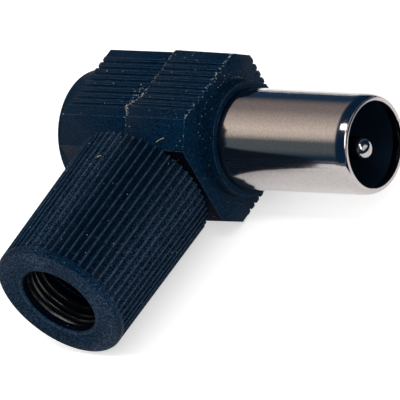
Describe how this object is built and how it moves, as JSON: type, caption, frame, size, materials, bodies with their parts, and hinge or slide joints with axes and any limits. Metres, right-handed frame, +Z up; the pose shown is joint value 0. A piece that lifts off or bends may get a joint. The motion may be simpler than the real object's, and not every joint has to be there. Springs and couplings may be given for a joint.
{
  "type": "right-angle antenna connector",
  "caption": "Right-angle coaxial antenna plug with a ribbed plastic body, a nickel-plated sleeve round a centre pin, and a ribbed cable nut that screws off.",
  "frame": {"origin": "bottom centre of the connector's box as it lies on its side; the plug's axis and the cable's axis cross at x -6.35 mm, y 7.916 mm, z 6.849 mm", "axes": "+X along the plug towards its mouth, -Y along the cable nut towards the cable, +Z up, out of the ribbed side that shows at the top of the picture"},
  "size_m": [0.0334, 0.029, 0.0137],
  "materials": {
    "front_shell": "satin moulded, dark blue-black",
    "rear_shell": "satin moulded, dark blue-black",
    "cable_nut": "satin moulded, dark blue-black",
    "grip_ring": "glossy black",
    "plug_sleeve": "bright nickel plate",
    "insulator": "natural white",
    "centre_pin": "bright nickel plate",
    "pin_screw": "zinc plated",
    "braid_bracket": "tinned sheet"
  },
  "bodies": {
    "housing": {"front_shell": "front_shell", "rear_shell": "rear_shell", "plug_sleeve": "plug_sleeve", "insulator": "insulator", "centre_pin": "centre_pin", "pin_screw": "pin_screw", "braid_bracket": "braid_bracket"},
    "ring": {"grip_ring": "grip_ring"},
    "nut": {"cable_nut": "cable_nut"}
  },
  "joints": [
    {"name": "ring_slide", "type": "slide", "parent": "housing", "child": "ring", "axis": [0, -1, 0], "range_m": [0, 0.0075]},
    {"name": "nut_turn", "type": "hinge", "parent": "ring", "child": "nut", "pos_m": [-0.00635, -0.0067, 0.00685], "axis": [0, -1, 0], "range_deg": [0, 3620]}
  ],
  "couplings": [
    {"joint": "nut_turn", "follows": "ring_slide", "rad_per_m": 8377.6}
  ]
}
